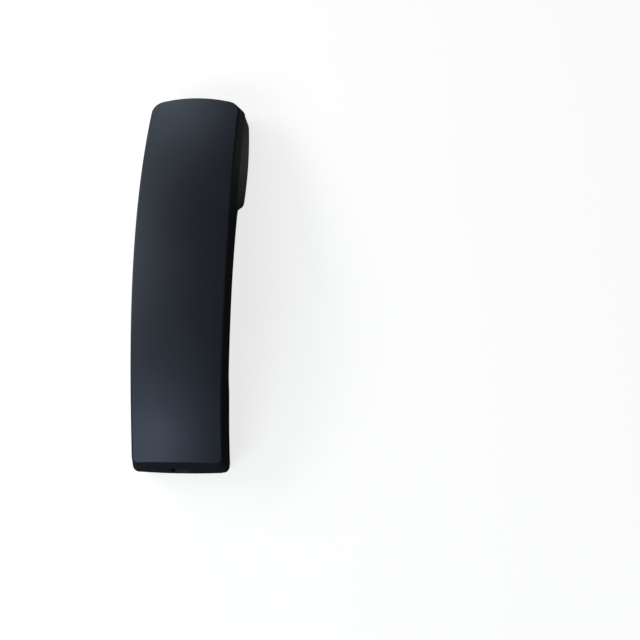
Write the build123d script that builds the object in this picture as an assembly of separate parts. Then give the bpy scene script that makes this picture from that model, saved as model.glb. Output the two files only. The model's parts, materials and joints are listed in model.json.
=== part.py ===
from build123d import *
import os
from math import asin, atan, cos, degrees, radians, sin, sqrt, tan

# Desk telephone handset, in millimetres.
# It lies face down on its two rims: +Y points to the earpiece, +X to its right, +Z up to the smooth
# back that shows while it rests. The origin is on the table, under the middle of the handset.

# Arched back
face_length = 192.8  # straight line from one end of the smooth back to the other
arch_radius = 234.0  # back, in side view
end_height = 24.5  # ends of the back above the table
crown_rise = 2.2  # how far the back swells across its width
ear_half_width = 23.2  # half of the back's width at the ear
waist_half_width = 22.0  # half of its width where the fingers close round it
mouth_half_width = 22.7  # half of its width at the mouth end
flank_depth = 9.5  # from the edge of the back down to the seam
flank_flare = 2.0  # how far the flank leans out on that way
end_lean = 14.0  # degrees that both ends lean out
ear_bow_radius = 90.0  # ear end, seen from above
mouth_bow_radius = 400.0  # mouth end, seen from above
ear_corner = 8.0
mouth_corner = 3.5
least_corner = 0.6  # smallest rounding inside
back_edge = 1.2  # rounding round the back's rim
wall = 2.2

# Widths along the arch, in degrees from its top
waist_angle = 14.0
band_margin = 5.6  # the arch is drawn this much past both ends

# Face side
grip_thickness = 22.0
belly_half_width = 26.1  # widest half of the ear block, at the table
belly_setback = 30.0  # from the ear end
flank_draft = 7.0  # degrees that the grip and the mouth block narrow downward
end_draft = 3.0  # the same for the walls at both ends
seam_reveal = 0.3  # how far the face shell stays inside the cover at the seam
seam_edge = 0.3  # chamfer on both sides of the seam
ear_wall_reach = 56.2  # ear block's length at the table
ear_wall_lean = 28.0
mouth_wall_reach = 42.0  # mouth block's length at the table
mouth_wall_lean = 22.0
block_blend = 9.0  # hollow rounding from a block up into the grip
block_nose = 5.5  # rounding of a block's edge that faces the other
rim_edge = 2.5  # rounding of the lower edges

# Seam
lip_height = 1.2
lip_inset = 1.25  # lip's outer side, from the cover's outside
lip_clearance = 0.1

# Earpiece
ear_setback = 25.8  # dish centre, from the ear end
dish_radius = 19.0
dish_depth = 4.2
dish_wall = 2.2
sound_hole = 0.95  # radius
sound_pitch = 4.2
sound_rings = 2
ring_holes = 6  # in the first ring
receiver_radius = 17.0
receiver_height = 9.3
seat_clearance = 0.2
seat_wall = 1.8
seat_height = 6.0
gasket_thickness = 1.2
gasket_width = 2.4
cloth_thickness = 0.3
clamp_width = 7.0
clamp_thickness = 1.0
clamp_screw_reach = 19.8  # from the dish centre to each end of the strap
clamp_turn = 45.0  # degrees from straight across to the strap

# Inside the receiver
cap_wall = 0.8
cap_height = 3.0
cap_step = 0.6  # raised land that holds the diaphragm's rim
cap_land = 2.6
diaphragm_thickness = 0.2
diaphragm_cone = 0.8
coil_radius = 4.3
coil_wall = 0.6
coil_height = 2.4
pole_radius = 3.7
pole_height = 1.2
magnet_radius = 3.4
yoke_gap = 0.3
yoke_wall = 1.4
frame_wall = 1.1
vent_radius = 1.5
vent_reach = 11.0
vent_count = 4
terminal_length = 5.0
terminal_half_width = 5.0
terminal_thickness = 1.0
terminal_reach = 10.5  # from the dish centre, square to the strap

# Mouthpiece
mic_setback = 31.0  # microphone centre, from the mouth end
slot_width = 1.2
slot_length = 6.0
slot_pitch = 2.6
slot_count = 3
mic_radius = 4.85
mic_height = 5.0
mic_edge = 0.4
boot_wall = 1.4
boot_floor = 1.2
boot_hole = 2.6  # radius
mic_seat_height = 4.0

# Cord socket
socket_half_width = 3.95
socket_height = 6.6
socket_depth = 11.0
jack_side = 1.65
jack_top = 2.4
jack_floor = 2.0
jack_rear = 2.0
jack_gap = 0.15  # between the jack's upper front edge and the cover's end
latch_half_width = 1.9
latch_depth = 1.0
contact_size = 0.5
contact_pitch = 1.25
contact_count = 4
contact_dip = 1.8  # how far the springs reach down into the socket
contact_nose = 1.6  # from the jack's front back to the bend of a spring
contact_run = 7.0  # length of the bent part
pin_length = 1.0  # below the board
socket_margin = 0.25  # cut-out in the wall, round the socket
board_thickness = 1.6
board_half_width = 12.5
board_length = 18.0
board_rise = 3.4  # its underside above the floor
board_screw_reach = 9.4
board_screw_setback = 4.0  # from the jack's back
filter_length = 2.0
filter_width = 1.2
filter_height = 0.9
filter_pitch = 3.0
filter_count = 4

# Ballast and fasteners
ballast_length = 36.0
ballast_width = 26.0
ballast_thickness = 6.0
ballast_rise = 4.0  # its underside above the floor
ballast_shift = -9.0
ballast_edge = 0.8
ballast_screw_spread = 24.0
screw_ear_side = 19.0
screw_mouth_side = -37.0
shell_screw_radius = 1.45
shell_screw_length = 11.0
small_screw_radius = 1.05
small_screw_bite = 4.2  # length in the plastic
board_screw_bite = 2.8
head_ratio = 1.9  # head radius over shank radius
head_height = 1.6
recess_ratio = 0.9  # drive recess radius over shank radius
recess_depth = 0.9
hole_clearance = 0.15
pilot_clearance = 0.05
pilot_end = 0.6
post_wall = 1.5
well_radius = 3.6
well_depth = 4.0
well_floor = 2.0
well_wall = 2.0
plug_clearance = 0.1
plug_gap = 0.3  # between plug and screw head

# Leads inside
lead_radius = 0.5
lead_spacing = 1.8
lead_grip_gap = 6.4  # from the edge of the back in to the nearer lead, at the grip
lead_neck_gap = 7.6  # the same beside the ear block
lead_ear_gap = 5.6  # from the ear block to where the leads come down to the floor
lead_mouth_gap = 5.8  # from the mouth block to where they leave it
lead_steps = 4  # points of their route in between
lead_entry = 13.0  # on from there to the bend above the receiver
lead_exit = 14.0  # bend above the mouth block
lead_lean = 1.5
lead_rise = 1.3  # above the floor
lead_headroom = 7.5  # how far a lead stands up from a solder joint
lead_bend = 0.45  # share of a run that its bend takes
guide_thickness = 1.2
guide_length = 4.0
guide_height = 4.0
guide_clearance = 0.3
guide_step = 1.5  # guides, in steps of the route from its first and last point
terminal_pitch = 5.0
mic_pin_pitch = 2.54
pad_pitch = 2.8
pad_inset = 1.2  # solder pads, from the board's rear edge

# Derived places
seam_radius = arch_radius - crown_rise - flank_depth
grip_radius = arch_radius - grip_thickness
floor_radius = grip_radius + wall
inner_arch = arch_radius - wall
arch_z = end_height - sqrt(arch_radius**2 - (face_length / 2) ** 2)
flank_angle = atan(flank_flare / flank_depth)
lean = radians(end_lean)
prism_foot = -end_height / 2
far = 60.0  # well past the handset's sides
band_angle = degrees(asin(face_length / 2 / arch_radius)) + band_margin


def arch_height(radius, y):
    """Height, at y, of an arc about the arch's axis."""
    return arch_z + sqrt(radius**2 - y**2)


def seam_end():
    """Where the leaning end of the back meets the seam: distance from the middle."""
    half = face_length / 2
    rise = end_height - arch_z
    slope = tan(lean)
    linear = rise - half * slope
    square = 1 + slope**2
    drop = (linear - sqrt(linear**2 - square * (half**2 + rise**2 - seam_radius**2))) / square
    return half + drop * slope


block_end = seam_end() - seam_reveal
end_seam = arch_height(seam_radius, block_end)
ear_foot = block_end - ear_wall_reach
mouth_foot = mouth_wall_reach - block_end

# Earpiece stack, from the table up
ear_y = block_end - ear_setback
dish_floor = dish_depth + dish_wall
capsule_low = dish_floor + gasket_thickness
capsule_high = capsule_low + receiver_height
strap_high = capsule_high + clamp_thickness
cap_floor = capsule_low + cap_wall
cap_ledge = cap_floor + cap_step
diaphragm_back = cap_ledge + diaphragm_thickness
coil_low = diaphragm_back + diaphragm_cone
frame_back = capsule_high - frame_wall
yoke_floor = frame_back - yoke_wall
frame_radius = receiver_radius - cap_wall - plug_clearance
terminal_high = capsule_high + terminal_thickness

# Mouthpiece stack
mic_y = mic_setback - block_end
mic_low = wall + boot_floor
mic_high = mic_low + mic_height
boot_radius = mic_radius + boot_wall

# Socket and its board
board_low = wall + board_rise
jack_base = board_low + board_thickness
jack_half_width = socket_half_width + jack_side
socket_low = jack_base + jack_floor
socket_high = socket_low + socket_height
jack_high = socket_high + jack_top
jack_front = jack_gap + wall / cos(lean) - face_length / 2 - (end_height - jack_high) * tan(lean)
jack_back = jack_front + socket_depth + jack_rear
board_rear = jack_front + board_length
board_screw_y = jack_back - board_screw_setback
pin_y = jack_back - jack_rear / 2
pad_y = board_rear - pad_inset

# Leads along the grip
lead_start = ear_foot - lead_ear_gap
lead_end = mouth_foot + lead_mouth_gap
lead_step = (lead_start - lead_end) / (lead_steps + 1)

# Grip
ballast_low = arch_height(floor_radius, 0) + ballast_rise
ballast_high = ballast_low + ballast_thickness
post_radius = small_screw_radius + post_wall
tiny = 0.001
quarter = 90.0  # quarter turn
steep = 0.8  # upright share of an edge that stands


def write(node, shape):
    export_step(shape, f"parts/{node}.step")


def main_solid(shape):
    """The largest solid of a shape, without the crumbs of a cut."""
    return max(shape.solids(), key=lambda piece: piece.volume)


def post(radius, x, y, low, high):
    """Upright round bar between two heights."""
    return Pos(x, y, (low + high) / 2) * Cylinder(radius, high - low)


def ring(outer, inner, x, y, low, high):
    return post(outer, x, y, low, high) - post(inner, x, y, low - 1, high + 1)


def block(x_low, x_high, y_low, y_high, z_low, z_high):
    middle = Pos((x_low + x_high) / 2, (y_low + y_high) / 2, (z_low + z_high) / 2)
    return middle * Box(x_high - x_low, y_high - y_low, z_high - z_low)


def arch_bar(radius):
    """Round bar along X about the arch's axis."""
    return Pos(0, 0, arch_z) * Rot(0, quarter, 0) * Cylinder(radius, 2 * far)


# Outer shell

# Half width of the back along the arch, by the angle from its top
stations = (
    (-band_angle, mouth_half_width),
    (-waist_angle, waist_half_width),
    (0.0, (waist_half_width + 2 * ear_half_width) / 3),
    (waist_angle, ear_half_width),
    (band_angle, ear_half_width),
)


def back_section(angle, half_width, inset):
    """Crowned top and leaning flanks of the back, square to the arch."""
    edge_r = arch_radius - crown_rise - inset
    edge_x = half_width + flank_flare * inset / flank_depth - inset / cos(flank_angle)
    foot_r = seam_radius - 3 * wall
    foot_x = edge_x + tan(flank_angle) * (edge_r - foot_r)
    top = ThreePointArc((-edge_x, edge_r), (0, arch_radius - inset), (edge_x, edge_r))
    right = Line((edge_x, edge_r), (foot_x, foot_r))
    bottom = Line((foot_x, foot_r), (-foot_x, foot_r))
    left = Line((-foot_x, foot_r), (-edge_x, edge_r))
    turn = radians(angle)
    plane = Plane(origin=(0, 0, arch_z), x_dir=(1, 0, 0), z_dir=(0, -cos(turn), sin(turn)))
    return plane * make_face([top, right, bottom, left])


def end_prism(reach, lean_out):
    """Everything between two bowed ends; reach is taken at the prism's foot."""
    ear_side = reach - ear_bow_radius + sqrt(ear_bow_radius**2 - far**2)
    mouth_side = reach - mouth_bow_radius + sqrt(mouth_bow_radius**2 - far**2)
    ear = ThreePointArc((far, ear_side), (0, reach), (-far, ear_side))
    left = Line((-far, ear_side), (-far, -mouth_side))
    mouth = ThreePointArc((-far, -mouth_side), (0, -reach), (far, -mouth_side))
    right = Line((far, -mouth_side), (far, ear_side))
    plan = Pos(0, 0, prism_foot) * make_face([ear, left, mouth, right])
    return extrude(plan, 3 * end_height, taper=lean_out)


def round_uprights(body, ear_radius, mouth_radius):
    """The same body with its four upright corners rounded."""
    for side, radius in ((1, ear_radius), (-1, mouth_radius)):
        uprights = [
            edge
            for edge in body.edges()
            if abs(edge.tangent_at(0.5).Z) > steep and side * edge.center().Y > 0
        ]
        body = fillet(uprights, max(radius, least_corner))
    return body


def back_body(inset):
    """The back's outer form, or its hollow when it is set in by the wall."""
    reach = face_length / 2 + (end_height - prism_foot) * tan(lean) - inset / cos(lean)
    flanks = loft([back_section(a, w, inset) for a, w in stations])
    body = main_solid(flanks & end_prism(reach, end_lean))
    return round_uprights(body, ear_corner - inset, mouth_corner - inset)


def socket_cut():
    """Way through the mouth end's wall to the socket."""
    reach = socket_half_width + socket_margin
    low = socket_low - socket_margin
    high = socket_high + socket_margin
    return block(-reach, reach, -2 * block_end, jack_front, low, high)


def shell_screw_seat(y):
    """Height of the floor that a shell screw's head pulls against."""
    return arch_height(grip_radius, y) + well_depth


def outer_shell():
    body = back_body(0)
    rim = body.faces().sort_by(Axis.Z)[-1]
    body = fillet(rim.edges(), back_edge)
    body = main_solid(body - arch_bar(seam_radius))
    underside = min(body.faces(), key=lambda face: face.normal_at().Z)
    body = chamfer(underside.edges(), seam_edge)
    rebate = back_body(lip_inset - lip_clearance) & arch_bar(seam_radius + lip_height + lip_clearance)
    shell = body - back_body(wall) - rebate
    for y in (screw_ear_side, screw_mouth_side):
        low = shell_screw_seat(y) + well_floor
        bore_high = shell_screw_seat(y) + shell_screw_length + pilot_end
        boss = post(shell_screw_radius + post_wall, 0, y, low, arch_height(inner_arch, y) + wall / 2)
        bore = post(shell_screw_radius + pilot_clearance, 0, y, low - 1, bore_high)
        shell = shell + boss - bore
    return main_solid(shell - socket_cut())


# Inner shell


# The same along the face side, each with the slope of its flanks: outward going down
draft = -tan(radians(flank_draft))
belly_angle = degrees(asin((block_end - belly_setback) / seam_radius))
belly_depth = seam_radius + arch_z / cos(radians(belly_angle))
belly_slope = (belly_half_width - ear_half_width - flank_flare + seam_reveal) / belly_depth
face_stations = (
    (-band_angle, mouth_half_width, draft),
    (-waist_angle, waist_half_width, draft),
    (0.0, (waist_half_width + 2 * ear_half_width) / 3, draft),
    (waist_angle, ear_half_width, 0.0),
    (belly_angle, ear_half_width, belly_slope),
    (band_angle, ear_half_width, 0.0),
)


def face_section(angle, half_width, slope, inset):
    """Straight flanks of the face side, square to the arch, from above the seam to below the table."""
    depth = seam_radius + arch_z + wall
    seam_x = half_width + flank_flare - seam_reveal - inset
    high_r = seam_radius + 2 * wall
    low_r = seam_radius - depth
    high_x = seam_x - 2 * wall * slope
    low_x = seam_x + depth * slope
    section = Polygon((-high_x, high_r), (high_x, high_r), (low_x, low_r), (-low_x, low_r), align=None)
    turn = radians(angle)
    plane = Plane(origin=(0, 0, arch_z), x_dir=(1, 0, 0), z_dir=(0, -cos(turn), sin(turn)))
    return plane * section


def side_outline():
    """The face side from the right: two blocks and the arch between them."""
    high = seam_radius + 2 * wall
    past = block_end + wall
    rise = end_height + wall
    within = Pos(0, far) * Rectangle(2 * past, 2 * far)
    whole = Pos(0, arch_z) * Circle(high)
    arch = (whole - Pos(0, arch_z) * Circle(grip_radius)) & within
    ear_top = ear_foot - rise * tan(radians(ear_wall_lean))
    mouth_top = mouth_foot + rise * tan(radians(mouth_wall_lean))
    ear = Polygon((ear_foot, 0), (past, 0), (past, rise), (ear_top, rise), align=None)
    mouth = Polygon((mouth_foot, 0), (mouth_top, rise), (-past, rise), (-past, 0), align=None)
    shape = arch + ((ear + mouth) & whole)
    noses = [v for v in shape.vertices() if abs(v.Y) < tiny and abs(v.X) < block_end - wall]
    shape = fillet(noses, block_nose)
    return fillet([v for v in shape.vertices() if is_hollow(v)], block_blend)


def is_hollow(vertex):
    """True where a block's wall runs up into the grip."""
    radius = sqrt(vertex.X**2 + (vertex.Y - arch_z) ** 2)
    return abs(radius - grip_radius) < tiny and abs(vertex.X) < block_end - wall


def face_body(inset):
    """The face side's outer form, or its hollow when it is set in by the wall."""
    side = side_outline()
    if inset:
        side = offset(side, -inset)
    across = extrude(Plane.YZ * side, far, both=True)
    reach = block_end - (end_seam - prism_foot) * tan(radians(end_draft)) - inset
    flanks = loft([face_section(a, w, slope, inset) for a, w, slope in face_stations])
    body = main_solid(flanks & end_prism(reach, -end_draft))
    body = round_uprights(body, ear_corner + wall / 2 - inset, mouth_corner + wall / 2 - inset)
    return main_solid(body & across)


def is_rim(edge):
    """True for the lower edges of the face side, all round."""
    middle = edge.position_at(0.5)
    along = edge.tangent_at(0.5)
    radius = sqrt(middle.Y**2 + (middle.Z - arch_z) ** 2)
    upright = abs(along.Z) > cos(radians(flank_draft + end_draft))
    crossing = abs(along.X) > 1 - tiny and abs(middle.Y) < block_end - 1
    return radius < seam_radius - 1 and not upright and not crossing


def sound_holes():
    """Middle hole and the rings round it, each with as many holes more as the first ring has."""
    holes = [post(sound_hole, 0, ear_y, -1, dish_floor + 1)]
    for turn in range(1, sound_rings + 1):
        circle = PolarLocations(turn * sound_pitch, ring_holes * turn)
        holes += [Pos(0, ear_y) * place * Cylinder(sound_hole, 3 * dish_floor) for place in circle]
    return holes


def mouth_slots():
    start = -(slot_count - 1) * slot_pitch / 2
    slots = []
    for index in range(slot_count):
        plan = Pos(start + index * slot_pitch, mic_y) * SlotOverall(slot_length, slot_width, rotation=quarter)
        slots.append(Pos(0, 0, -1) * extrude(plan, wall + 2))
    return slots


def dish_cut():
    """Shallow bowl that the ear lies in."""
    radius = (dish_radius**2 + dish_depth**2) / (2 * dish_depth)
    return Pos(0, ear_y, dish_depth - radius) * Sphere(radius)


def around_ear(reach, angle):
    """Place at a distance and an angle from the dish's centre."""
    return reach * cos(radians(angle)), ear_y + reach * sin(radians(angle))


def clamp_screw_places():
    return [around_ear(clamp_screw_reach, clamp_turn), around_ear(-clamp_screw_reach, clamp_turn)]


def ballast_screw_places():
    return [ballast_shift - ballast_screw_spread / 2, ballast_shift + ballast_screw_spread / 2]


def lead_guides():
    """Pairs of ribs that keep the receiver's leads beside the ballast."""
    inner = waist_half_width - lead_grip_gap - lead_radius - guide_clearance
    outer = inner + lead_spacing + 2 * (lead_radius + guide_clearance)
    ribs = []
    for y in (lead_start - guide_step * lead_step, lead_end + guide_step * lead_step):
        near = y - guide_length / 2
        high = arch_height(floor_radius, y) + guide_height
        low = high - guide_height - wall / 2
        for edge in (inner - guide_thickness, outer):
            ribs.append(block(edge, edge + guide_thickness, near, near + guide_length, low, high))
    return ribs


def face_fittings():
    """Seats, posts and ribs that stand on the inside of the face side."""
    low = wall / 2
    fittings = [
        post(dish_radius + dish_wall / 2, 0, ear_y, low, dish_floor),
        ring(
            receiver_radius + seat_clearance + seat_wall,
            receiver_radius + seat_clearance,
            0,
            ear_y,
            dish_floor - 1,
            dish_floor + seat_height,
        ),
        ring(
            boot_radius + plug_clearance + seat_wall,
            boot_radius + plug_clearance,
            0,
            mic_y,
            low,
            wall + mic_seat_height,
        ),
    ]
    for x, y in clamp_screw_places():
        fittings.append(post(post_radius, x, y, low, capsule_high))
    for side in (-1, 1):
        fittings.append(post(post_radius, side * board_screw_reach, board_screw_y, low, board_low))
    for y in ballast_screw_places():
        fittings.append(post(post_radius, 0, y, arch_height(floor_radius, y) - wall / 2, ballast_low))
    for y in (screw_ear_side, screw_mouth_side):
        seat = shell_screw_seat(y)
        fittings.append(post(well_radius + well_wall, 0, y, seat - well_depth + wall / 2, seat + well_floor))
    return fittings + lead_guides()


def face_bores():
    """Everything cut out of the face side after its fittings are on."""
    pilot = small_screw_radius + pilot_clearance
    bores = [dish_cut(), socket_cut()] + sound_holes() + mouth_slots()
    for x, y in clamp_screw_places():
        bores.append(post(pilot, x, y, capsule_high - small_screw_bite - pilot_end, strap_high))
    for side in (-1, 1):
        board_bore_low = board_low - board_screw_bite - pilot_end / 2
        bores.append(post(pilot, side * board_screw_reach, board_screw_y, board_bore_low, jack_base))
    for y in ballast_screw_places():
        bores.append(post(pilot, 0, y, ballast_low - small_screw_bite - pilot_end, ballast_high))
    for y in (screw_ear_side, screw_mouth_side):
        seat = shell_screw_seat(y)
        bores.append(post(well_radius, 0, y, seat - 2 * well_depth, seat))
        bores.append(post(shell_screw_radius + hole_clearance, 0, y, seat - 1, seat + 2 * well_floor))
    return bores


def inner_shell():
    body = face_body(0)
    body = fillet([edge for edge in body.edges() if is_rim(edge)], rim_edge)
    inside = face_body(wall)
    fittings = face_fittings()
    above_seam = back_body(wall) - arch_bar(seam_radius)
    lip = back_body(lip_inset) & (arch_bar(seam_radius + lip_height) - arch_bar(seam_radius - 1))
    shell = main_solid(body & arch_bar(seam_radius))
    topside = max(shell.faces(), key=lambda face: face.normal_at().Z)
    shell = chamfer(topside.edges(), seam_edge) + lip - inside - above_seam
    shell = shell + [piece & body for piece in fittings]
    return main_solid(shell - face_bores())


# Earpiece


def revolved(points, x, y):
    """Solid of revolution about an upright axis, from radius and height points."""
    face = Plane.XZ * make_face(Polyline(points, close=True))
    return Pos(x, y) * revolve(face, Axis.Z)


def ear_cloth():
    radius = receiver_radius - gasket_width - seat_clearance
    return post(radius, 0, ear_y, dish_floor, dish_floor + cloth_thickness)


def ear_gasket():
    return ring(receiver_radius, receiver_radius - gasket_width, 0, ear_y, dish_floor, capsule_low)


def receiver_cap():
    profile = [
        (0, capsule_low),
        (receiver_radius, capsule_low),
        (receiver_radius, capsule_low + cap_height),
        (receiver_radius - cap_wall, capsule_low + cap_height),
        (receiver_radius - cap_wall, cap_ledge),
        (receiver_radius - cap_wall - cap_land, cap_ledge),
        (receiver_radius - cap_wall - cap_land, cap_floor),
        (0, cap_floor),
    ]
    circle = PolarLocations(2 * sound_pitch, ring_holes)
    holes = [Pos(0, ear_y, capsule_low) * place * Cylinder(sound_hole, 3 * cap_wall) for place in circle]
    return revolved(profile, 0, ear_y) - holes


def receiver_diaphragm():
    land = coil_wall
    lower = [
        (0, cap_ledge),
        (coil_radius - land, coil_low - diaphragm_thickness),
        (coil_radius + coil_wall + land, coil_low - diaphragm_thickness),
        (frame_radius - cap_land, cap_ledge),
        (frame_radius, cap_ledge),
    ]
    upper = [(radius, height + diaphragm_thickness) for radius, height in lower]
    return revolved(lower + upper[::-1], 0, ear_y)


def receiver_coil():
    return ring(coil_radius + coil_wall, coil_radius, 0, ear_y, coil_low, coil_low + coil_height)


def receiver_pole():
    return post(pole_radius, 0, ear_y, coil_low + yoke_gap, coil_low + yoke_gap + pole_height)


def receiver_magnet():
    return post(magnet_radius, 0, ear_y, coil_low + yoke_gap + pole_height, yoke_floor)


def yoke_outer():
    return coil_radius + coil_wall + yoke_gap + yoke_wall


def receiver_yoke():
    inner = yoke_outer() - yoke_wall
    cup = post(yoke_outer(), 0, ear_y, coil_low + yoke_gap, frame_back)
    return cup - post(inner, 0, ear_y, coil_low, yoke_floor)


def receiver_frame():
    cup = post(frame_radius, 0, ear_y, diaphragm_back, capsule_high)
    cup -= post(frame_radius - frame_wall, 0, ear_y, diaphragm_back - 1, frame_back)
    hub_inner = yoke_outer() + plug_clearance
    hub_low = yoke_floor - yoke_wall
    cup += ring(hub_inner + frame_wall, hub_inner, 0, ear_y, hub_low, frame_back + frame_wall / 2)
    circle = PolarLocations(vent_reach, vent_count)
    vents = [Pos(0, ear_y, capsule_high) * place * Cylinder(vent_radius, 3 * frame_wall) for place in circle]
    return cup - vents


def receiver_terminal():
    x, y = around_ear(terminal_reach, clamp_turn - quarter)
    plate = Box(terminal_length, 2 * terminal_half_width, terminal_thickness)
    return Pos(x, y, capsule_high + terminal_thickness / 2) * Rot(0, 0, clamp_turn - quarter) * plate


def receiver_clamp():
    """Spring strap across the capsule, with a rounded end round each screw."""
    strap = SlotCenterToCenter(2 * clamp_screw_reach, 2 * post_radius, rotation=clamp_turn)
    plan = Pos(0, ear_y) * (strap + Circle(clamp_width) - Circle(clamp_width / 2))
    for place in clamp_screw_places():
        plan -= Pos(*place) * Circle(small_screw_radius + hole_clearance)
    return Pos(0, 0, capsule_high) * extrude(plan, clamp_thickness)


# Fasteners


def screw(shank, length, x, y, seat, up=1):
    """Round-headed screw whose head bears on the seat, with its point up or down."""
    head = shank * head_ratio
    profile = [
        (0, head_height - recess_depth),
        (shank * recess_ratio, head_height - recess_depth),
        (shank * recess_ratio, head_height),
        (head - head_height / 3, head_height),
        (head, head_height / 2),
        (head, 0),
        (shank, 0),
        (shank, shank - length),
        (0, -length),
    ]
    placed = [(radius, seat - up * height) for radius, height in profile]
    return revolved(placed, x, y)


def clamp_screws():
    length = clamp_thickness + small_screw_bite
    return [screw(small_screw_radius, length, x, y, strap_high, -1) for x, y in clamp_screw_places()]


def board_screws():
    length = board_thickness + board_screw_bite
    sides = (-board_screw_reach, board_screw_reach)
    return [screw(small_screw_radius, length, x, board_screw_y, jack_base, -1) for x in sides]


def ballast_screws():
    length = ballast_thickness + small_screw_bite
    places = ballast_screw_places()
    return [screw(small_screw_radius, length, 0, y, ballast_high, -1) for y in places]


def shell_screws():
    places = (screw_ear_side, screw_mouth_side)
    return [screw(shell_screw_radius, shell_screw_length, 0, y, shell_screw_seat(y)) for y in places]


def screw_plugs():
    """Rubber plugs that close the wells, flush with the grip."""
    plugs = []
    for y in (screw_ear_side, screw_mouth_side):
        high = shell_screw_seat(y) - head_height - plug_gap
        plug = post(well_radius - plug_clearance, 0, y, high - well_depth, high)
        plugs.append(main_solid(plug - arch_bar(grip_radius)))
    return plugs


# Mouthpiece


def mic_boot():
    boot = post(boot_radius, 0, mic_y, wall, mic_high)
    boot -= post(mic_radius, 0, mic_y, mic_low, mic_high + 1)
    return boot - post(boot_hole, 0, mic_y, wall - 1, mic_high)


def mic_felt():
    return post(boot_hole - plug_clearance, 0, mic_y, wall, mic_low)


def mic_capsule():
    can = post(mic_radius, 0, mic_y, mic_low, mic_high)
    return fillet(can.edges().group_by(Axis.Z)[0], mic_edge)


# Cord socket


def contact_places():
    start = -(contact_count - 1) * contact_pitch / 2
    return [start + index * contact_pitch for index in range(contact_count)]


def jack_housing():
    body = block(-jack_half_width, jack_half_width, jack_front, jack_back, jack_base, jack_high)
    mouth = block(
        -socket_half_width,
        socket_half_width,
        jack_front - 1,
        jack_front + socket_depth,
        socket_low,
        socket_high,
    )
    groove_low = socket_low - latch_depth
    groove = block(
        -latch_half_width,
        latch_half_width,
        jack_front - 1,
        jack_front + socket_depth,
        groove_low,
        socket_high,
    )
    body = body - mouth - groove
    half = contact_size / 2 + plug_clearance
    comb_front = jack_front + contact_nose - half
    comb_high = socket_high + 2 * contact_size
    for x in contact_places():
        body -= block(x - half, x + half, comb_front, jack_back, socket_high - 1, comb_high)
        body -= block(x - half, x + half, pin_y - half, jack_back, jack_base - 1, comb_high)
    return body


def contact_wire(x):
    """Bent spring from the board up the jack's back, along its roof and down into the socket."""
    top = socket_high + contact_size
    nose = jack_front + contact_nose + contact_size
    tail = nose + contact_run
    low = socket_high - contact_dip
    half = contact_size / 2
    slope = (top - low) / contact_run
    path = [
        (pin_y - half, board_low - pin_length),
        (pin_y + half, board_low - pin_length),
        (pin_y + half, top + half),
        (nose - contact_size, top + half),
        (nose - contact_size, top - half),
        (tail, low),
        (tail, low + contact_size),
        (nose + contact_size / slope, top - half),
        (pin_y - half, top - half),
    ]
    profile = Plane.YZ * make_face(Polyline(path, close=True))
    return Pos(x) * extrude(profile, half, both=True)


def jack_board():
    board = block(-board_half_width, board_half_width, jack_front, board_rear, board_low, jack_base)
    holes = [post(contact_size, x, pin_y, board_low - 1, jack_base + 1) for x in contact_places()]
    for side in (-1, 1):
        clear = small_screw_radius + hole_clearance
        holes.append(post(clear, side * board_screw_reach, board_screw_y, board_low - 1, jack_base + 1))
    return board - holes


def board_filters():
    start = -(filter_count - 1) * filter_pitch / 2
    rear = pad_y - lead_radius - plug_clearance
    return [
        block(
            start + index * filter_pitch - filter_width / 2,
            start + index * filter_pitch + filter_width / 2,
            rear - filter_length,
            rear,
            jack_base,
            jack_base + filter_height,
        )
        for index in range(filter_count)
    ]


# Ballast


def ballast_weight():
    ends = (ballast_shift - ballast_length / 2, ballast_shift + ballast_length / 2)
    half = ballast_width / 2
    bar = block(-half, half, ends[0], ends[1], ballast_low, ballast_high)
    bar = chamfer(bar.edges(), ballast_edge)
    clear = small_screw_radius + hole_clearance
    return bar - [post(clear, 0, y, ballast_low - 1, ballast_high + 1) for y in ballast_screw_places()]


# Leads


def lead(points):
    """Round lead along straight runs joined by arcs as large as the runs allow."""
    path = [Vector(*point) for point in points]
    radii = []
    for before, corner, after in zip(path, path[1:], path[2:]):
        first = corner - before
        second = after - corner
        run = min(first.length, second.length)
        radii.append(lead_bend * run / tan(radians(first.get_angle(second)) / 2))
    line = FilletPolyline(points, radius=radii)
    start = Plane(origin=line @ 0, z_dir=line % 0)
    tube = sweep(start * Circle(lead_radius), path=line)
    print("lead", "length", round(line.length, 1), "radii", [round(radius, 1) for radius in radii])
    return tube


def receiver_lead(side, place, end_x):
    """Lead from one side of the terminal over the grip to the board; place counts from the ballast."""
    middle_x, middle_y = around_ear(terminal_reach, clamp_turn - quarter)
    start_x = middle_x + side * terminal_pitch / 2 * cos(radians(clamp_turn))
    start_y = middle_y + side * terminal_pitch / 2 * sin(radians(clamp_turn))
    neck_x = ear_half_width - lead_neck_gap + place * lead_spacing
    grip_x = waist_half_width - lead_grip_gap + place * lead_spacing
    receiver_top = terminal_high + lead_headroom
    board_top = jack_base + lead_headroom
    points = [
        (start_x, start_y, terminal_high),
        (start_x, start_y, receiver_top),
        ((start_x + neck_x) / 2, lead_start + lead_entry, receiver_top + lead_rise),
        (neck_x, lead_start, arch_height(floor_radius, lead_start) + 2 * lead_rise),
    ]
    for index in range(1, lead_steps + 1):
        y = lead_start - index * lead_step
        points.append((grip_x, y, arch_height(floor_radius, y) + lead_rise))
    return lead(
        points
        + [
            (grip_x - lead_lean, lead_end, arch_height(floor_radius, lead_end) + 2 * lead_rise),
            ((grip_x + end_x) / 2, lead_end - lead_exit, board_top + lead_rise),
            (end_x, pad_y, board_top),
            (end_x, pad_y, jack_base),
        ]
    )


def mic_lead(start_x, end_x):
    return lead(
        [
            (start_x, mic_y, mic_high),
            (start_x, mic_y, mic_high + lead_headroom),
            (end_x, pad_y, jack_base + lead_headroom + 1),
            (end_x, pad_y, jack_base),
        ]
    )


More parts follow.
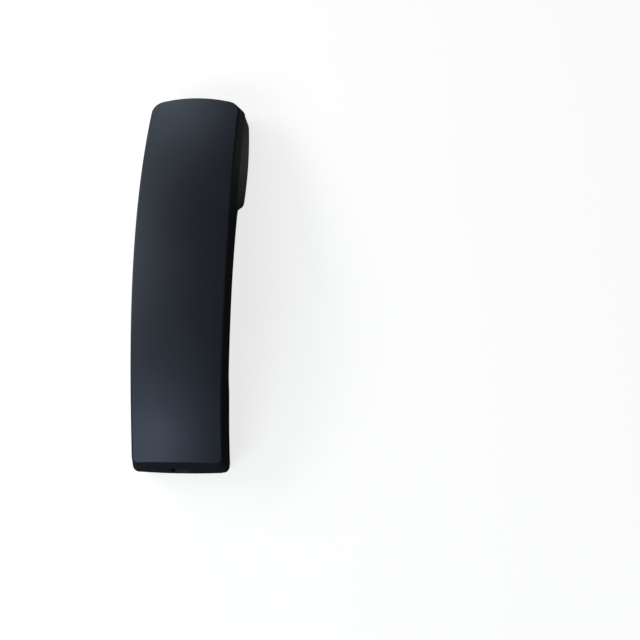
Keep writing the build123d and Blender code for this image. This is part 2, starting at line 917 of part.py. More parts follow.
def main():
    os.makedirs("parts", exist_ok=True)
    pieces = {
        "outer_shell": outer_shell(),
        "inner_shell": inner_shell(),
        "ear_cloth": ear_cloth(),
        "ear_gasket": ear_gasket(),
        "receiver_cap": receiver_cap(),
        "receiver_diaphragm": receiver_diaphragm(),
        "receiver_coil": receiver_coil(),
        "receiver_pole": receiver_pole(),
        "receiver_magnet": receiver_magnet(),
        "receiver_yoke": receiver_yoke(),
        "receiver_frame": receiver_frame(),
        "receiver_terminal": receiver_terminal(),
        "receiver_clamp": receiver_clamp(),
        "mic_boot": mic_boot(),
        "mic_felt": mic_felt(),
        "mic_capsule": mic_capsule(),
        "jack_housing": jack_housing(),
        "jack_board": jack_board(),
        "ballast_weight": ballast_weight(),
        "receiver_lead_red": receiver_lead(1, 1, 3 * pad_pitch / 2),
        "receiver_lead_black": receiver_lead(-1, 0, pad_pitch / 2),
        "mic_lead_white": mic_lead(mic_pin_pitch / 2, -pad_pitch / 2),
        "mic_lead_yellow": mic_lead(-mic_pin_pitch / 2, -3 * pad_pitch / 2),
    }
    groups = {
        "clamp_screws": clamp_screws(),
        "board_screws": board_screws(),
        "ballast_screws": ballast_screws(),
        "shell_screws": shell_screws(),
        "screw_plugs": screw_plugs(),
        "jack_contacts": [contact_wire(x) for x in contact_places()],
        "board_filters": board_filters(),
    }
    for node, solids in groups.items():
        pieces[node] = Compound(children=solids)
    for node, shape in pieces.items():
        write(node, shape)


main()
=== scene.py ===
# %% [markdown]
# # A desk telephone handset, dressed for its portrait
#
# The handset comes in as a finished frame: two moulded shells that hold an earpiece, a microphone, a
# cord socket and a steel bar. Nothing in it may move or change size, so this lesson gives it what a
# drawing of its solids lacks: the grain of the plastic, the weave behind the sound holes, windings,
# threads and solder, then soft light and a camera.
#
# We load the frame first.

import json
from math import pi, tau

import bmesh
import bpy
from mathutils import Matrix, Vector


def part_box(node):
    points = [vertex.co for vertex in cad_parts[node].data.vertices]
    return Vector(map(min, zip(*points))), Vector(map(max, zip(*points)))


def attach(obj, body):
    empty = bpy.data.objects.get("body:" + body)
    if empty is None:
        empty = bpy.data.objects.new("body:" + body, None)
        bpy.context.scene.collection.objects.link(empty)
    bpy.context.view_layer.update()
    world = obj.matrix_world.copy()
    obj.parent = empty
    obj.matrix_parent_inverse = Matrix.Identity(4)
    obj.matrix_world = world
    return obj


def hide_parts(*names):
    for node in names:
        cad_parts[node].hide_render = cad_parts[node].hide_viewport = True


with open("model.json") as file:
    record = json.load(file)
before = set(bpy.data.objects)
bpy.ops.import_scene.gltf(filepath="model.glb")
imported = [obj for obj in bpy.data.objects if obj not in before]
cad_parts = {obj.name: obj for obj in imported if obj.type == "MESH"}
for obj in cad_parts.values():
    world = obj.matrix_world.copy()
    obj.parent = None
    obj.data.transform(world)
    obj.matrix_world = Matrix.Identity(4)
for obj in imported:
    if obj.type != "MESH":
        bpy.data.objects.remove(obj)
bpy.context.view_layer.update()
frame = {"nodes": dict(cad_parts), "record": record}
nodes = frame["nodes"]
MM = 0.001
print("nodes:", len(nodes))

# %% [markdown]
# ## Small helpers for node trees
#
# A material or a Geometry Nodes tree is a graph. Blender lets us build it by clicking or by code. Code
# is easier to read again later if each node takes one line, so `add` makes a node and fills its inputs,
# and links whatever input is given another node's socket.


# %% Node helpers
def fill(tree, node, values):
    """Sets inputs by name or number: a socket is linked, anything else becomes the default."""
    for key, value in values.items():
        socket = node.inputs[key]
        if isinstance(value, bpy.types.NodeSocket):
            tree.links.new(value, socket)
        else:
            socket.default_value = value


def add(tree, kind, inputs=None, **settings):
    """Makes a node, sets its settings and fills its inputs."""
    node = tree.nodes.new(kind)
    for name, value in settings.items():
        setattr(node, name, value)
    fill(tree, node, inputs or {})
    return node


def math_node(tree, operation, first, second=0.0, third=0.0):
    """Output of a Math node; each operand is a number or a socket."""
    return add(tree, "ShaderNodeMath", {0: first, 1: second, 2: third}, operation=operation).outputs[0]


print("helpers ready")

# %% [markdown]
# ## Grain, shared by every moulded part
#
# Moulded plastic is matte because the steel of the mould is etched with tiny pits, a few tenths of a
# millimetre across. Real pits could be modelled, but they would need millions of faces. A noise pattern
# that only bends the light does the same from any distance. The group below puts out a height for a
# Bump node and a mask that varies slowly, as hands and wiping leave a surface a little uneven. It reads
# Object coordinates, so the grain stays put when the handset is turned.


# %% Grain group
pit_size = 0.4 * MM
patch_size = 30 * MM
pit_detail = 3.0  # octaves of the two noises
patch_detail = 4.0


def build_grain_group():
    tree = bpy.data.node_groups.new("etched grain", "ShaderNodeTree")
    face = tree.interface
    face.new_socket("Pit size", in_out="INPUT", socket_type="NodeSocketFloat").default_value = pit_size
    face.new_socket("Patch size", in_out="INPUT", socket_type="NodeSocketFloat").default_value = patch_size
    face.new_socket("Height", in_out="OUTPUT", socket_type="NodeSocketFloat")
    face.new_socket("Patches", in_out="OUTPUT", socket_type="NodeSocketFloat")
    entry = add(tree, "NodeGroupInput")
    place = add(tree, "ShaderNodeTexCoord").outputs["Object"]
    pit_scale = math_node(tree, "DIVIDE", 1.0, entry.outputs["Pit size"])
    patch_scale = math_node(tree, "DIVIDE", 1.0, entry.outputs["Patch size"])
    pits = add(tree, "ShaderNodeTexNoise", {"Vector": place, "Scale": pit_scale, "Detail": pit_detail})
    cells = add(tree, "ShaderNodeTexVoronoi", {"Vector": place, "Scale": pit_scale}, feature="SMOOTH_F1")
    height = math_node(tree, "ADD", pits.outputs["Fac"], cells.outputs["Distance"])
    slow = add(tree, "ShaderNodeTexNoise", {"Vector": place, "Scale": patch_scale, "Detail": patch_detail})
    leave = add(tree, "NodeGroupOutput")
    tree.links.new(height, leave.inputs["Height"])
    tree.links.new(slow.outputs["Fac"], leave.inputs["Patches"])
    return tree


grain_group = build_grain_group()
print("group:", grain_group.name)

# %% [markdown]
# ## One recipe for opaque finishes
#
# Plastic, rubber, lacquer and metal all come from the Principled shader. What tells them apart is a
# few numbers: the colour, how rough the surface is, how deep its grain is and whether it is metal. So
# one function makes them all, and each call below reads like a line of a paint chart. Two close colours
# are mixed by the slow mask, because no real surface has one flat colour.


# %% Finish recipe
patch_low = 0.3  # a noise seldom leaves these two limits
patch_high = 0.7


def finish(
    name,
    dark,
    light,
    rough=(0.45, 0.55),
    metal=0.0,
    pit=pit_size,
    depth=0.1,
    coat=0.0,
    shine=0.5,
    tint=(1, 1, 1),
):
    """Material whose colour and roughness drift between two values, with an etched grain.

    Pit is the grain's size and depth its height in millimetres. Shine and tint are the strength and
    the colour of the plain reflection, which a soft, oily plastic has less of than a hard one.
    """
    material = bpy.data.materials.new(name)
    material.use_nodes = True
    tree = material.node_tree
    shader = tree.nodes["Principled BSDF"]
    grain = add(tree, "ShaderNodeGroup", node_tree=grain_group)
    grain.inputs["Pit size"].default_value = pit
    grain.inputs["Patch size"].default_value = patch_size
    patches = grain.outputs["Patches"]
    colour = add(tree, "ShaderNodeMix", {"Factor": patches}, data_type="RGBA")
    colour.inputs["A"].default_value = (*dark, 1)
    colour.inputs["B"].default_value = (*light, 1)
    rough_low, rough_high = rough
    spread = add(tree, "ShaderNodeMapRange", {"Value": patches, "To Min": rough_low, "To Max": rough_high})
    fill(tree, spread, {"From Min": patch_low, "From Max": patch_high})
    bump_inputs = {"Height": grain.outputs["Height"], "Strength": 1.0, "Distance": depth * MM}
    bump = add(tree, "ShaderNodeBump", bump_inputs)
    shader.inputs["Metallic"].default_value = metal
    shader.inputs["Coat Weight"].default_value = coat
    shader.inputs["Specular IOR Level"].default_value = shine
    shader.inputs["Specular Tint"].default_value = (*tint, 1)
    tree.links.new(colour.outputs["Result"], shader.inputs["Base Color"])
    tree.links.new(spread.outputs["Result"], shader.inputs["Roughness"])
    tree.links.new(bump.outputs["Normal"], shader.inputs["Normal"])
    return material


paint_chart = {
    "shell_plastic": finish(
        "shell plastic",
        (0.0095, 0.0103, 0.0132),
        (0.0111, 0.0119, 0.0152),
        (0.44, 0.50),
        depth=0.012,
        shine=0.385,
        tint=(0.73, 0.78, 1.0),
    ),
    # A lighter, warmer copy of the shell plastic for the face side: painted light on the ear block's side.
    "face_plastic_painted_lighter": finish(
        "face side plastic painted lighter",
        (0.024, 0.023, 0.025),
        (0.028, 0.027, 0.029),
        (0.44, 0.50),
        depth=0.012,
        shine=0.42,
        tint=(0.92, 0.90, 1.0),
    ),
    "capsule_plastic": finish(
        "capsule plastic", (0.010, 0.010, 0.011), (0.016, 0.016, 0.017), (0.35, 0.45), depth=0.01
    ),
    "jack_plastic": finish(
        "jack plastic", (0.008, 0.008, 0.009), (0.012, 0.012, 0.013), (0.22, 0.32), depth=0.008
    ),
    "film": finish("diaphragm film", (0.45, 0.26, 0.08), (0.55, 0.34, 0.12), (0.18, 0.28), depth=0.005),
    "steel": finish(
        "plated steel", (0.42, 0.42, 0.44), (0.56, 0.56, 0.57), (0.28, 0.42), 1.0, 0.3 * MM, 0.01
    ),
    "nickel": finish(
        "nickel plating", (0.55, 0.52, 0.48), (0.62, 0.60, 0.56), (0.12, 0.22), 1.0, depth=0.005
    ),
    "copper": finish(
        "enamelled copper", (0.55, 0.22, 0.09), (0.68, 0.30, 0.13), (0.22, 0.34), 1.0, depth=0.005
    ),
    "gold": finish("gilt spring", (0.72, 0.48, 0.16), (0.80, 0.56, 0.22), (0.18, 0.28), 1.0, depth=0.004),
    "can": finish("spun can", (0.52, 0.52, 0.53), (0.62, 0.62, 0.63), (0.30, 0.42), 1.0, depth=0.008),
    "rubber": finish("soft rubber", (0.012, 0.012, 0.013), (0.020, 0.020, 0.021), (0.72, 0.85), depth=0.02),
    "felt": finish(
        "acoustic cloth", (0.010, 0.010, 0.012), (0.024, 0.024, 0.027), (0.85, 0.95), pit=0.25 * MM, depth=0.1
    ),
    "board": finish(
        "board lacquer", (0.010, 0.075, 0.030), (0.016, 0.105, 0.045), (0.25, 0.35), coat=0.4, depth=0.01
    ),
    "ferrite": finish("ferrite", (0.030, 0.030, 0.032), (0.045, 0.045, 0.047), (0.55, 0.70), depth=0.02),
    "lead_red": finish("red lead", (0.40, 0.010, 0.008), (0.50, 0.020, 0.014), (0.30, 0.42), depth=0.01),
    "lead_black": finish(
        "black lead", (0.008, 0.008, 0.008), (0.014, 0.014, 0.014), (0.30, 0.42), depth=0.01
    ),
    "lead_white": finish("white lead", (0.62, 0.62, 0.58), (0.70, 0.70, 0.66), (0.30, 0.42), depth=0.01),
    "lead_yellow": finish("yellow lead", (0.70, 0.42, 0.02), (0.80, 0.50, 0.04), (0.30, 0.42), depth=0.01),
}
print("finishes:", len(paint_chart))

# %% [markdown]
# ## Copper under the board's lacquer
#
# A plain green board looks like painted card. Real ones keep a hatched net of copper under the lacquer,
# as a shield round the signal tracks, and it shows as lighter lines. A Brick texture with no offset from
# row to row is such a net: its mortar is the copper. It is laid over the colour that the recipe above
# already gives, so the lacquer keeps its gloss and its small changes. Lacquer and copper end at the
# board's cut edges, where the normal lies level, and there the bare glass laminate shows.


# %% Copper net
copper_green = (0.040, 0.170, 0.060)  # copper, seen through green lacquer
laminate = (0.24, 0.27, 0.10)
net_pitch = 0.9 * MM
line_share = 0.22  # of one mesh of the net
flat_limit = 0.5  # a face counts as flat if its normal stands up or down by more


def lay_net(material):
    """Puts the copper net over a flat piece's colour, and bare laminate on its edges."""
    tree = material.node_tree
    base = tree.nodes["Principled BSDF"].inputs["Base Color"]
    lacquer = base.links[0].from_socket
    place = add(tree, "ShaderNodeTexCoord")
    net_inputs = {"Vector": place.outputs["Object"], "Scale": 1 / net_pitch}
    net = add(tree, "ShaderNodeTexBrick", net_inputs, offset=0.0)
    fill(tree, net, {"Mortar Size": line_share / 2, "Brick Width": 1.0, "Row Height": 1.0})
    netted = add(tree, "ShaderNodeMix", {"Factor": net.outputs["Fac"]}, data_type="RGBA")
    fill(tree, netted, {"A": lacquer, "B": (*copper_green, 1)})
    normal = add(tree, "ShaderNodeSeparateXYZ", {0: place.outputs["Normal"]})
    upright = math_node(tree, "ABSOLUTE", normal.outputs[2])
    flat = math_node(tree, "GREATER_THAN", upright, flat_limit)
    whole = add(tree, "ShaderNodeMix", {"Factor": flat}, data_type="RGBA")
    fill(tree, whole, {"A": (*laminate, 1), "B": netted.outputs["Result"]})
    tree.links.new(whole.outputs["Result"], base)


lay_net(paint_chart["board"])
print("net on:", paint_chart["board"].name)

# %% [markdown]
# ## Each piece gets its finish
#
# The imported record says which slot each node takes, so we read it there and don't list the pieces twice.
# One piece differs from its slot. The side of the ear block catches more light than the back and looks a
# warmer, lighter grey, so the face side gets a lighter, warmer copy of the shell plastic: painted light,
# spread over that whole shell.

# %% Dress the frame
# The face side shell takes the lighter copy of the shell plastic, which paints on the light of its side.
painted_light_finish = {"inner_shell": "face_plastic_painted_lighter"}
for part in frame["record"]["subparts"]:
    name = part["node"]
    mesh = nodes[name].data
    mesh.materials.clear()
    mesh.materials.append(paint_chart[painted_light_finish.get(name, part["material_slot"])])

# %% [markdown]
# ## From a tree to a plain mesh
#
# A Geometry Nodes tree lives on a modifier. The modifier's settings are set by the identifiers of the
# tree's sockets before anything is evaluated. The result is then copied out as a plain mesh, so the
# piece no longer depends on the tree and can be handed on.


# %% Tree helpers
def new_tree(name, sizes):
    """Geometry tree with the named number inputs, and its entry node."""
    tree = bpy.data.node_groups.new(name, "GeometryNodeTree")
    tree.interface.new_socket("Geometry", in_out="INPUT", socket_type="NodeSocketGeometry")
    for label, value in sizes.items():
        kind = "NodeSocketInt" if isinstance(value, int) else "NodeSocketFloat"
        tree.interface.new_socket(label, in_out="INPUT", socket_type=kind).default_value = value
    tree.interface.new_socket("Geometry", in_out="OUTPUT", socket_type="NodeSocketGeometry")
    return tree, add(tree, "NodeGroupInput")


def close_tree(tree, geometry, material):
    """Ends a tree in Realize Instances and Set Material."""
    real = add(tree, "GeometryNodeRealizeInstances", {"Geometry": geometry})
    painted = add(tree, "GeometryNodeSetMaterial", {"Geometry": real.outputs[0], "Material": material})
    leave = add(tree, "NodeGroupOutput")
    tree.links.new(painted.outputs[0], leave.inputs[0])


def grow(name, tree, sizes, points=()):
    """Runs a tree on a few points and returns the result as a plain mesh object at the origin."""
    seed_mesh = bpy.data.meshes.new(name + "_seed")
    seed_mesh.from_pydata([tuple(point) for point in points] or [(0, 0, 0)], [], [])
    seed = bpy.data.objects.new(name + "_seed", seed_mesh)
    bpy.context.scene.collection.objects.link(seed)
    modifier = seed.modifiers.new("tree", "NODES")
    modifier.node_group = tree
    for item in tree.interface.items_tree:
        if item.in_out == "INPUT" and item.name in sizes:
            modifier[item.identifier] = sizes[item.name]
    graph = bpy.context.evaluated_depsgraph_get()
    mesh = bpy.data.meshes.new_from_object(seed.evaluated_get(graph))
    bpy.data.objects.remove(seed)
    piece = bpy.data.objects.new(name, mesh)
    bpy.context.scene.collection.objects.link(piece)
    triangles = sum(len(face.vertices) - 2 for face in mesh.polygons)
    print(name, "triangles:", triangles)
    return piece


def settle(piece, slot, *replaced):
    """A finished piece rides on the handset, and the nodes that it stands for are hidden; slot is not used.
    """
    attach(piece, "root")
    if replaced:
        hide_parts(*replaced)


print("tree helpers ready")

# %% [markdown]
# ## The cloth behind the sound holes
#
# A thin woven cloth keeps dust out of the earpiece. It shows only as specks through the holes, but
# black threads catch light as flat paint can't. A weave follows a rule: every thread goes over and
# under, and its neighbour does the opposite. Written as a height, that is cos(x) times cos(y), so one
# line of threads along X and one along Y, bent by that height, make the cloth. There are over a hundred
# threads, so each has four sides and only two points from one crossing to the next.


# %% One set of threads
points_each = 2.0  # points of a thread, for each crossing


def thread_set(tree, entry, along_x):
    """Parallel threads, bent over and under, along X or along Y."""
    count = entry.outputs["Threads"]
    pitch = entry.outputs["Pitch"]
    span = math_node(tree, "MULTIPLY", count, pitch)
    half = math_node(tree, "MULTIPLY", span, 0.5)
    back = math_node(tree, "MULTIPLY", half, -1.0)
    start = add(tree, "ShaderNodeCombineXYZ", {0: back})
    end = add(tree, "ShaderNodeCombineXYZ", {0: half})
    line = add(tree, "GeometryNodeCurvePrimitiveLine", {"Start": start.outputs[0], "End": end.outputs[0]})
    steps = math_node(tree, "MULTIPLY_ADD", count, points_each, third=1.0)
    fine = add(tree, "GeometryNodeResampleCurve", {"Curve": line.outputs[0], "Count": steps})
    first = add(tree, "ShaderNodeCombineXYZ", {1: back})
    step = add(tree, "ShaderNodeCombineXYZ", {1: pitch})
    whole = math_node(tree, "ADD", count, 1.0)
    row_inputs = {"Count": whole, "Start Location": first.outputs[0], "Offset": step.outputs[0]}
    row = add(tree, "GeometryNodeMeshLine", row_inputs)
    laid = add(tree, "GeometryNodeInstanceOnPoints", {"Points": row.outputs[0], "Instance": fine.outputs[0]})
    real = add(tree, "GeometryNodeRealizeInstances", {"Geometry": laid.outputs[0]})
    place = add(tree, "ShaderNodeSeparateXYZ", {0: add(tree, "GeometryNodeInputPosition").outputs[0]})
    turn = math_node(tree, "DIVIDE", pi, pitch)
    wave_x = math_node(tree, "COSINE", math_node(tree, "MULTIPLY", place.outputs[0], turn))
    wave_y = math_node(tree, "COSINE", math_node(tree, "MULTIPLY", place.outputs[1], turn))
    wave = math_node(tree, "MULTIPLY", wave_x, wave_y)
    sign = 1.0 if along_x else -1.0
    swing = math_node(tree, "MULTIPLY", entry.outputs["Thread radius"], sign)
    lift = add(tree, "ShaderNodeCombineXYZ", {2: math_node(tree, "MULTIPLY", wave, swing)})
    bent = add(tree, "GeometryNodeSetPosition", {"Geometry": real.outputs[0], "Offset": lift.outputs[0]})
    quarter = (0.0, 0.0, 0.0 if along_x else pi / 2)
    turned = add(tree, "GeometryNodeTransform", {"Geometry": bent.outputs[0], "Rotation": quarter})
    return turned.outputs[0]


print("points for each crossing:", int(points_each))

# %% [markdown]
# ## From threads to a cloth
#
# Both sets start as square sheets of lines. The points outside the disc are deleted first, while they are
# still cheap, and only then is each line given its section. A thread's radius is a little less than a
# quarter of the cloth's thickness, so the weave stays inside the box of the plain disc that it replaces.


# %% Woven cloth
thread_sides = 4


def build_cloth_tree():
    sizes = {"Disc radius": 14 * MM, "Pitch": 0.5 * MM, "Thread radius": 0.12 * MM, "Threads": 56}
    tree, entry = new_tree("woven cloth", sizes)
    both = add(tree, "GeometryNodeJoinGeometry")
    for along_x in (True, False):
        tree.links.new(thread_set(tree, entry, along_x), both.inputs[0])
    place = add(tree, "GeometryNodeInputPosition").outputs[0]
    away = add(tree, "ShaderNodeVectorMath", {0: place}, operation="LENGTH")
    outside = add(tree, "FunctionNodeCompare", {0: away.outputs["Value"], 1: entry.outputs["Disc radius"]})
    outside.operation = "GREATER_THAN"
    round_inputs = {"Geometry": both.outputs[0], "Selection": outside.outputs[0]}
    disc = add(tree, "GeometryNodeDeleteGeometry", round_inputs, domain="POINT")
    section = add(tree, "GeometryNodeCurvePrimitiveCircle", {"Resolution": thread_sides})
    fill(tree, section, {"Radius": entry.outputs["Thread radius"]})
    tube_inputs = {"Curve": disc.outputs[0], "Profile Curve": section.outputs[0], "Fill Caps": True}
    tubes = add(tree, "GeometryNodeCurveToMesh", tube_inputs)
    close_tree(tree, tubes.outputs[0], paint_chart["felt"])
    return tree


def carry(piece, offset):
    """Moves a piece's mesh, so that its object stays at the origin."""
    piece.data.transform(Matrix.Translation(offset))
    piece.data.update()


cloth_low, cloth_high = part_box("ear_cloth")
cloth_middle = (cloth_low + cloth_high) / 2
cloth_radius = (cloth_high.x - cloth_low.x) / 2
thread_fill = 0.98  # of a quarter of the cloth's thickness
pitch_in_radii = 5.2
thread_radius = (cloth_high.z - cloth_low.z) / 4 * thread_fill
thread_pitch = pitch_in_radii * thread_radius
cloth_sizes = {
    "Disc radius": cloth_radius - 2 * thread_radius,
    "Pitch": thread_pitch,
    "Thread radius": thread_radius,
    "Threads": 2 * int(cloth_radius / thread_pitch),
}
cloth = grow("ear_cloth_weave", build_cloth_tree(), cloth_sizes)
carry(cloth, cloth_middle)
settle(cloth, "felt", "ear_cloth")

# %% [markdown]
# ## The voice coil's winding
#
# The coil is wound from fine copper wire. A spiral curve with a round section is exactly how it is
# made, so two spirals, one inside the other, stand for the plain ring.


# %% Coil winding
wire_sides = 6
spiral_steps = 40  # in one turn


def build_coil_tree():
    sizes = {"Radius": 4.4 * MM, "Height": 2.2 * MM, "Wire radius": 0.1 * MM, "Turns": 10}
    tree, entry = new_tree("coil winding", sizes)
    both = add(tree, "GeometryNodeJoinGeometry")
    section = add(tree, "GeometryNodeCurvePrimitiveCircle", {"Resolution": wire_sides})
    fill(tree, section, {"Radius": entry.outputs["Wire radius"]})
    step = math_node(tree, "MULTIPLY", entry.outputs["Wire radius"], 2.0)
    outer = math_node(tree, "ADD", entry.outputs["Radius"], step)
    for radius in (entry.outputs["Radius"], outer):
        spiral_inputs = {
            "Resolution": spiral_steps,
            "Rotations": entry.outputs["Turns"],
            "Start Radius": radius,
            "End Radius": radius,
            "Height": entry.outputs["Height"],
        }
        spiral = add(tree, "GeometryNodeCurveSpiral", spiral_inputs)
        wire_inputs = {"Curve": spiral.outputs[0], "Profile Curve": section.outputs[0], "Fill Caps": True}
        wire = add(tree, "GeometryNodeCurveToMesh", wire_inputs)
        tree.links.new(wire.outputs[0], both.inputs[0])
    close_tree(tree, both.outputs[0], paint_chart["copper"])
    return tree


coil_low, coil_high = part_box("receiver_coil")
coil_wire = 0.13 * MM
coil_height = coil_high.z - coil_low.z
coil_sizes = {
    "Radius": (coil_high.x - coil_low.x) / 2 - 3 * coil_wire,
    "Height": coil_height - 2 * coil_wire,
    "Wire radius": coil_wire,
    "Turns": int(coil_height / (2 * coil_wire)) - 1,
}
coil_middle = (coil_low + coil_high) / 2
coil = grow("receiver_coil_winding", build_coil_tree(), coil_sizes)
carry(coil, Vector((coil_middle.x, coil_middle.y, coil_low.z + coil_wire)))
settle(coil, "copper", "receiver_coil")

# %% [markdown]
# ## Where the screws are
#
# The frame gives eight screws in four nodes, and a node's mesh may hold several bodies that don't touch.
# Their places could be typed in, but then they would be wrong as soon as a screw moved. So we walk from
# vertex to vertex along the edges until a body is complete, and take the box of each.


# %% Where the screws are
same_place = 0.001 * MM  # closer vertices are one


def islands(name):
    """Low and high corner of each separate body in a node's mesh."""
    body = bmesh.new()
    body.from_mesh(nodes[name].data)
    bmesh.ops.remove_doubles(body, verts=body.verts, dist=same_place)
    left = set(body.verts)
    corners = []
    while left:
        stack = [left.pop()]
        places = []
        while stack:
            vertex = stack.pop()
            places.append(vertex.co.copy())
            near = {edge.other_vert(vertex) for edge in vertex.link_edges} & left
            left -= near
            stack.extend(near)
        low = Vector([min(place[axis] for place in places) for axis in range(3)])
        high = Vector([max(place[axis] for place in places) for axis in range(3)])
        corners.append((low, high))
    body.free()
    return sorted(corners, key=lambda pair: tuple(pair[0]))


def seats(name, head, head_up):
    """Point under each screw's head, and the length of the shank below it."""
    found = []
    for low, high in islands(name):
        level = high.z - head if head_up else low.z + head
        found.append(((low.x + high.x) / 2, (low.y + high.y) / 2, level))
        length = high.z - low.z - head
    return found, length


print("clamp screws:", len(islands("clamp_screws")))

# %% [markdown]
# ## Screw threads
#
# All eight screws cut their own thread in the plastic, so they have coarse, sharp ridges. The frame gives
# a plain shank and head. Cutting a helix into it would make a heavy mesh, and a real thread is rolled up
# from the shank anyway, so the ridge is laid on: a line that goes down the shank, wound round it by a
# sine and a cosine of its own height, and swept with a four-sided section. Near the point the radius
# shrinks with what is left of the length. The tree reads one vertex for each screw, just under its head.


# %% Thread
ridge_sides = 4
turn_steps = 14.0  # points in one turn of the ridge
point_share = 0.05  # of the shank's radius, left at the point


def build_thread_tree():
    sizes = {"Shank radius": 1 * MM, "Pitch": 0.8 * MM, "Length": 5 * MM, "Point": 1 * MM}
    sizes |= {"Ridge": 0.2 * MM, "Way": -1.0}
    tree, entry = new_tree("screw thread", sizes)
    length = entry.outputs["Length"]
    pitch = entry.outputs["Pitch"]
    bottom = math_node(tree, "MULTIPLY", length, entry.outputs["Way"])
    end = add(tree, "ShaderNodeCombineXYZ", {2: bottom})
    line = add(tree, "GeometryNodeCurvePrimitiveLine", {"Start": (0, 0, 0), "End": end.outputs[0]})
    steps = math_node(tree, "MULTIPLY", math_node(tree, "DIVIDE", length, pitch), turn_steps)
    fine = add(tree, "GeometryNodeResampleCurve", {"Curve": line.outputs[0], "Count": steps})
    on_line = add(tree, "GeometryNodeInputPosition").outputs[0]
    height = add(tree, "ShaderNodeSeparateXYZ", {0: on_line}).outputs[2]
    left = math_node(tree, "SUBTRACT", length, math_node(tree, "ABSOLUTE", height))
    taper = math_node(tree, "DIVIDE", left, entry.outputs["Point"])
    share = add(tree, "ShaderNodeClamp", {"Value": taper, "Min": point_share, "Max": 1.0}).outputs[0]
    radius = math_node(tree, "MULTIPLY", entry.outputs["Shank radius"], share)
    angle = math_node(tree, "MULTIPLY", math_node(tree, "DIVIDE", height, pitch), tau)
    across = math_node(tree, "MULTIPLY", radius, math_node(tree, "COSINE", angle))
    along = math_node(tree, "MULTIPLY", radius, math_node(tree, "SINE", angle))
    place = add(tree, "ShaderNodeCombineXYZ", {0: across, 1: along, 2: height})
    helix = add(tree, "GeometryNodeSetPosition", {"Geometry": fine.outputs[0], "Position": place.outputs[0]})
    upright = add(tree, "GeometryNodeSetCurveNormal", {"Curve": helix.outputs[0]}, mode="Z_UP")
    section = add(tree, "GeometryNodeCurvePrimitiveCircle", {"Resolution": ridge_sides})
    fill(tree, section, {"Radius": entry.outputs["Ridge"]})
    ridge_inputs = {"Curve": upright.outputs[0], "Profile Curve": section.outputs[0], "Fill Caps": True}
    ridge = add(tree, "GeometryNodeCurveToMesh", ridge_inputs)
    each_inputs = {"Points": entry.outputs["Geometry"], "Instance": ridge.outputs[0]}
    each = add(tree, "GeometryNodeInstanceOnPoints", each_inputs)
    close_tree(tree, each.outputs[0], paint_chart["steel"])
    return tree


thread_tree = build_thread_tree()
screw_head = 1.6 * MM
bare_point = 0.3 * MM
small_screw = (1.05 * MM, 0.8 * MM, True)  # shank radius, pitch, head up
shell_screw = (1.45 * MM, 1.2 * MM, False)
screw_sorts = {
    "clamp_screws": small_screw,
    "board_screws": small_screw,
    "ballast_screws": small_screw,
    "shell_screws": shell_screw,
}
for name, (shank, pitch, head_up) in screw_sorts.items():
    places, shank_length = seats(name, screw_head, head_up)
    thread_sizes = {
        "Shank radius": shank,
        "Pitch": pitch,
        "Length": shank_length - bare_point,
        "Point": shank,
        "Ridge": pitch / 4,
        "Way": -1.0 if head_up else 1.0,
    }
    settle(grow(name[:-1] + "_threads", thread_tree, thread_sizes, places), "steel")

# %% [markdown]
# ## Solder joints
#
# Each of the four leads ends on a pad at the board, and on a tag at the earpiece or at the microphone.
# A soldered wire stands in a small cone with a hollow side, because molten solder climbs the wire. One
# closed cone, drawn in at mid-height, is set on every joint. The joint's place isn't typed in: it is the
# middle of the lead's own vertices that touch the pad.


# %% Where the leads touch
slack = 0.05 * MM  # a vertex this near the pad's box still touches it


def touch_point(lead, pad):
    """Middle of the lead's vertices that lie in or on the pad's box, at the pad's top."""
    low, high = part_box(pad)
    inside = []
    for vertex in nodes[lead].data.vertices:
        place = vertex.co
        if all(low[axis] - slack <= place[axis] <= high[axis] + slack for axis in range(3)):
            inside.append(place)
    middle = sum(inside, Vector()) / len(inside)
    return (middle.x, middle.y, high.z)


lead_ends = {
    "receiver_lead_red": "receiver_terminal",
    "receiver_lead_black": "receiver_terminal",
    "mic_lead_white": "mic_capsule",
    "mic_lead_yellow": "mic_capsule",
}
joints = [touch_point(lead, pad) for lead, pad in lead_ends.items()]
joints += [touch_point(lead, "jack_board") for lead in lead_ends]
print("joints at", [[round(value / MM, 2) for value in joint] for joint in joints])

# %% [markdown]
# ## The shape of a joint
#
# A cone's side is straight and solder's isn't. Each ring of the cone is drawn in by share times one minus
# share, which is nothing at the foot and at the wire and most at mid-height.


# %% Solder joints
cone_sides = 20
cone_rings = 5


def build_solder_tree():
    sizes = {"Foot radius": 1 * MM, "Wire radius": 0.7 * MM, "Height": 1 * MM, "Hollow": 0.6}
    tree, entry = new_tree("solder joint", sizes)
    height = entry.outputs["Height"]
    cone_inputs = {
        "Vertices": cone_sides,
        "Side Segments": cone_rings,
        "Radius Top": entry.outputs["Wire radius"],
        "Radius Bottom": entry.outputs["Foot radius"],
        "Depth": height,
    }
    cone = add(tree, "GeometryNodeMeshCone", cone_inputs)
    place = add(tree, "ShaderNodeSeparateXYZ", {0: add(tree, "GeometryNodeInputPosition").outputs[0]})
    share = math_node(tree, "DIVIDE", place.outputs[2], height)
    arch = math_node(tree, "MULTIPLY", share, math_node(tree, "SUBTRACT", 1.0, share))
    draw = math_node(tree, "SUBTRACT", 1.0, math_node(tree, "MULTIPLY", arch, entry.outputs["Hollow"]))
    across = math_node(tree, "MULTIPLY", place.outputs[0], draw)
    along = math_node(tree, "MULTIPLY", place.outputs[1], draw)
    drawn = add(tree, "ShaderNodeCombineXYZ", {0: across, 1: along, 2: place.outputs[2]})
    hollow = add(tree, "GeometryNodeSetPosition", {"Geometry": cone.outputs[0], "Position": drawn.outputs[0]})
    smooth = add(tree, "GeometryNodeSetShadeSmooth", {"Geometry": hollow.outputs[0]})
    each_inputs = {"Points": entry.outputs["Geometry"], "Instance": smooth.outputs[0]}
    each = add(tree, "GeometryNodeInstanceOnPoints", each_inputs)
    close_tree(tree, each.outputs[0], paint_chart["nickel"])
    return tree


